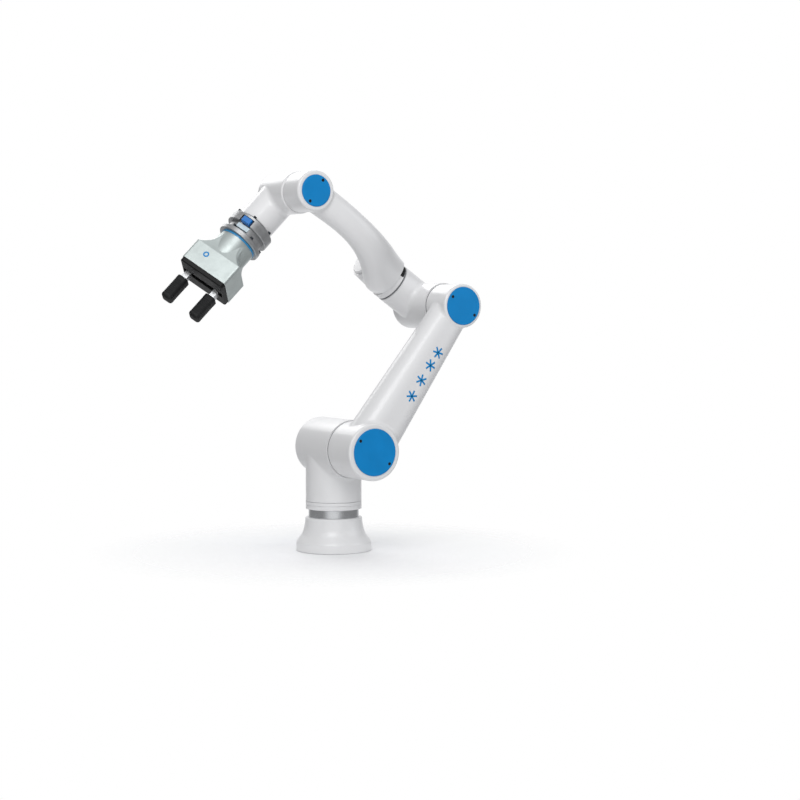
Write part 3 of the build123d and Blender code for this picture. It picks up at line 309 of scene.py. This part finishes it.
def rounded_outline(width, height, corner, steps=8):
    """Points of a rounded rectangle, in mm round its own middle."""
    points = []
    for quarter, (x_sign, y_sign) in enumerate(((1, 1), (-1, 1), (-1, -1), (1, -1))):
        for step in range(steps + 1):
            angle = math.radians(90 * (quarter + step / steps))
            points.append((x_sign * (width / 2 - corner) + corner * math.cos(angle),
                           y_sign * (height / 2 - corner) + corner * math.sin(angle)))
    return points


def circle_outline(radius, steps=32):
    """Points of a circle, in mm round its own middle."""
    return [(radius * math.cos(math.tau * step / steps), radius * math.sin(math.tau * step / steps))
            for step in range(steps)]


# Rubber finger pads: rounded ends, and ribs all round where they grip
PAD_START, PAD_END, PAD_PLACE = 284.0, 342.4, 37.0
PAD_WIDTH, PAD_HEIGHT, PAD_CORNER = 26.0, 28.0, 8.0
PAD_NOSE, PAD_FOOT = 6.0, 1.0         # length of the rounded tip, and of the bevel at the jaw
PAD_STEPS = 118
LEAST_TIP = 0.2                       # keeps the tip's last ring from reaching the full inset
RIB_START, RIB_END, RIB_PITCH, RIB_DEPTH = 294.0, 334.0, 4.0, 0.7


def pad_inset(along):
    """How far a pad's skin lies inside its full section, in mm."""
    inset = 0.0
    if along > PAD_END - PAD_NOSE:
        far = (along - PAD_END + PAD_NOSE) / PAD_NOSE
        inset = PAD_NOSE * (1 - math.sqrt(max(0.0, 1 - far * far)))
    elif along < PAD_START + PAD_FOOT:
        inset = PAD_START + PAD_FOOT - along
    elif RIB_START < along < RIB_END:
        inset = RIB_DEPTH * (0.5 - 0.5 * math.cos(math.tau * (along - RIB_START) / RIB_PITCH)) ** 2
    return inset


for side, label in ((1, "left"), (-1, "right")):
    bm = bmesh.new()
    rings = []
    for step in range(PAD_STEPS + 1):
        along = PAD_START + (PAD_END - PAD_START) * step / PAD_STEPS
        inset = min(pad_inset(along), PAD_NOSE - LEAST_TIP)
        outline = rounded_outline(PAD_WIDTH - 2 * inset, PAD_HEIGHT - 2 * inset, PAD_CORNER - inset)
        rings.append([tool_point(side * PAD_PLACE + x, y, along) for x, y in outline])
    loft(bm, rings)
    pad = piece("grip_pad_" + label, bm, black_rubber, label + "_finger")
    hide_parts("finger_pad_" + label)

# Blue marks on the front of the upper arm: plain strokes, laid on the shell
arm_mesh = nodes["upper_arm_shell"].data
arm_tree = BVHTree.FromPolygons([vertex.co for vertex in arm_mesh.vertices],
                                [list(face.vertices) for face in arm_mesh.polygons])
ACROSS_ARM = ARM.cross(Vector((0, -1, 0))).normalized()
MARK_PROUD, MARK_THICKNESS = 0.15 * MM, 0.3 * MM
STROKE_STEP = 2.0                     # mm between a stroke's points, so that it follows the shell
IN_FRONT = -0.5                       # y in front of everything


def on_shell(along, across):
    """Point on the shell's front, in mm along the arm from the shoulder and across it."""
    start = SHOULDER + ARM * along * MM + ACROSS_ARM * across * MM
    hit = arm_tree.ray_cast(Vector((start.x, IN_FRONT, start.z)), Vector((0, 1, 0)))[0]
    return hit - Vector((0, MARK_PROUD, 0))


def stroke(bm, points, width):
    """Ribbon of the given width along a line of (along, across) points, laid on the shell."""
    dense = []
    for (a0, c0), (a1, c1) in zip(points, points[1:]):
        count = max(1, int(math.hypot(a1 - a0, c1 - c0) / STROKE_STEP))
        dense += [(a0 + (a1 - a0) * i / count, c0 + (c1 - c0) * i / count) for i in range(count)]
    dense.append(points[-1])
    rows = []
    for here, (along, across) in enumerate(dense):
        before = dense[max(0, here - 1)]
        after = dense[min(len(dense) - 1, here + 1)]
        run = Vector((after[0] - before[0], after[1] - before[1])).normalized()
        row = []
        for offset in (-width / 2, 0, width / 2):
            row.append(bm.verts.new(on_shell(along - run.y * offset, across + run.x * offset)))
        rows.append(row)
    for first, second in zip(rows, rows[1:]):
        for i in (0, 1):
            bm.faces.new((first[i], first[i + 1], second[i + 1], second[i]))


MARK_PLACES = (262.0, 229.0, 190.0, 149.0)     # along the arm from the shoulder
MARK_ACROSS, MARK_SIZE, MARK_LINE = 8.0, 13.0, 3.8
STROKE_TURNS = (10, 70, 130)          # degrees, three crossed strokes
MARK_TURN = 15                        # each mark is turned this much further than the one before
bm = bmesh.new()
for count, place in enumerate(MARK_PLACES):
    for turn in STROKE_TURNS:
        angle = math.radians(turn + MARK_TURN * count)
        x, y = MARK_SIZE * math.cos(angle), MARK_SIZE * math.sin(angle)
        stroke(bm, [(place - x, MARK_ACROSS - y), (place + x, MARK_ACROSS + y)], MARK_LINE)
marks = piece("arm_marks", bm, blue_cap, "upper_arm")
thick = marks.modifiers.new("thickness", "SOLIDIFY")
thick.thickness = MARK_THICKNESS
thick.offset = 0

# Small blue ring printed on the gripper's top face
RING_PLACE = (-19.0, 43.0, 225.0)
RING_OUT, RING_IN, RING_RISE, RING_SINK = 6.5, 3.4, 0.15, -0.1
bm = bmesh.new()
rings = []
RING_SECTION = ((RING_IN, RING_SINK), (RING_IN, RING_RISE), (RING_OUT, RING_RISE), (RING_OUT, RING_SINK))
for radius, rise in RING_SECTION:
    rings.append([bm.verts.new(tool_point(RING_PLACE[0] + x, RING_PLACE[1] + rise, RING_PLACE[2] + y))
                  for x, y in circle_outline(radius)])
for first, second in zip(rings, rings[1:] + rings[:1]):
    for here in range(len(first)):
        after = (here + 1) % len(first)
        bm.faces.new((first[here], first[after], second[after], second[here]))
piece("gripper_ring_mark", bm, blue_cap, "tool", smooth=False)

# Contact pins in the base's cable socket
PIN_COUNT, PIN_CIRCLE, PIN_RADIUS = 5, 6.5, 1.2
SOCKET_Z, PIN_FOOT, PIN_TIP = 38.0, 71.0, 84.0
bm = bmesh.new()
for count in range(PIN_COUNT):
    angle = math.tau * count / PIN_COUNT
    x, z = PIN_CIRCLE * math.cos(angle), SOCKET_Z + PIN_CIRCLE * math.sin(angle)
    rings = []
    for y, scale in ((PIN_FOOT, 1.0), (PIN_TIP - 1, 1.0), (PIN_TIP - 0.3, 0.8), (PIN_TIP, 0.35)):
        rings.append([Vector(((x + u) * MM, y * MM, (z + v) * MM))
                      for u, v in circle_outline(PIN_RADIUS * scale, 16)])
    loft(bm, rings)
piece("socket_pins", bm, machined, "base")

# ---- Stage, light and camera ----

FLOOR_RADIUS, FADE_START, FADE_END = 0.9, 0.135, 0.54
FLOOR_DROP = 0.0004


def stage_floor():
    """A pale round floor that fades out into the white backdrop."""
    bm = bmesh.new()
    bmesh.ops.create_circle(bm, cap_ends=True, segments=96, radius=FLOOR_RADIUS)
    mesh = bpy.data.meshes.new("floor")
    bm.to_mesh(mesh)
    bm.free()
    floor = bpy.data.objects.new("floor", mesh)
    bpy.context.scene.collection.objects.link(floor)
    floor.location = (0, 0, -FLOOR_DROP)
    n = Nodes("floor_pale")
    n.link(n.mix(n.spread(n.noise(3.0), 0.0, 1.0), (0.90, 0.905, 0.915), (0.93, 0.935, 0.94)),
           n.shader.inputs["Base Color"])
    n.shader.inputs["Roughness"].default_value = 0.8
    reach = n.add("ShaderNodeVectorMath", operation="LENGTH")
    n.link(n.coordinate, reach.inputs[0])
    n.link(n.spread(reach.outputs["Value"], 1.0, 0.0, FADE_START, FADE_END), n.shader.inputs["Alpha"])
    floor.data.materials.append(n.material)


stage_floor()

scene = bpy.context.scene
scene.view_settings.view_transform = "Standard"
AZIMUTH, ELEVATION = math.radians(-30.445), math.radians(2.961)


def studio_world():
    """White backdrop for the camera; light on the scene dimmer from the camera's left and right than from
    above, below, front and back.
    """
    world = bpy.data.worlds.new("studio")
    scene.world = world
    world.use_nodes = True
    tree = world.node_tree
    light = tree.nodes["Background"]
    coordinate = tree.nodes.new("ShaderNodeTexCoord").outputs["Generated"]
    across = tree.nodes.new("ShaderNodeVectorMath")
    across.operation = "DOT_PRODUCT"
    across.inputs[1].default_value = (math.cos(AZIMUTH), math.sin(AZIMUTH), 0)
    tree.links.new(coordinate, across.inputs[0])
    sideways = tree.nodes.new("ShaderNodeMath")
    sideways.operation = "ABSOLUTE"
    tree.links.new(across.outputs["Value"], sideways.inputs[0])
    dim = tree.nodes.new("ShaderNodeMapRange")
    dim.interpolation_type = "SMOOTHSTEP"
    for socket, value in (("From Min", 0.2), ("From Max", 0.8), ("To Min", 0.92), ("To Max", 0.28)):
        dim.inputs[socket].default_value = value
    tree.links.new(sideways.outputs["Value"], dim.inputs["Value"])
    tree.links.new(dim.outputs["Result"], light.inputs["Strength"])
    light.inputs["Color"].default_value = (0.98, 0.985, 1.0, 1.0)
    seen = tree.nodes.new("ShaderNodeBackground")
    seen.inputs["Color"].default_value = (1.0, 1.0, 1.0, 1.0)
    path = tree.nodes.new("ShaderNodeLightPath")
    choose = tree.nodes.new("ShaderNodeMixShader")
    tree.links.new(path.outputs["Is Camera Ray"], choose.inputs["Fac"])
    tree.links.new(light.outputs["Background"], choose.inputs[1])
    tree.links.new(seen.outputs["Background"], choose.inputs[2])
    tree.links.new(choose.outputs["Shader"], tree.nodes["World Output"].inputs["Surface"])


studio_world()


def softbox(name, place, target, size, power, colour=(1, 1, 1)):
    light = bpy.data.lights.new(name, "AREA")
    light.shape = "RECTANGLE"
    light.size, light.size_y = size
    light.energy = power
    light.color = colour
    thing = bpy.data.objects.new(name, light)
    scene.collection.objects.link(thing)
    thing.location = place
    thing.rotation_mode = "QUATERNION"
    thing.rotation_quaternion = (Vector(target) - Vector(place)).to_track_quat("-Z", "Y")
    return thing


softbox("key_light", (-1.6, -2.2, 2.3), (0, 0, 0.45), (1.8, 1.8), 34)
softbox("fill_light", (2.0, -1.6, 1.2), (0, 0, 0.45), (1.6, 1.6), 9, (0.95, 0.97, 1.0))
softbox("back_light", (0.4, 2.4, 2.2), (0, 0, 0.45), (2.4, 1.2), 22)

CAMERA_PLACE = (-1.8918, -3.5052, 0.5342)
LENS, SENSOR, FAR = 82.15, 36.0, 100.0
back = Vector((math.sin(AZIMUTH) * math.cos(ELEVATION), -math.cos(AZIMUTH) * math.cos(ELEVATION),
               math.sin(ELEVATION)))
camera_data = bpy.data.cameras.new("camera")
camera_data.lens = LENS
camera_data.sensor_width = SENSOR
camera_data.clip_end = FAR
camera = bpy.data.objects.new("camera", camera_data)
scene.collection.objects.link(camera)
camera.location = CAMERA_PLACE
camera.rotation_mode = "QUATERNION"
camera.rotation_quaternion = (-back).to_track_quat("-Z", "Y")
scene.camera = camera
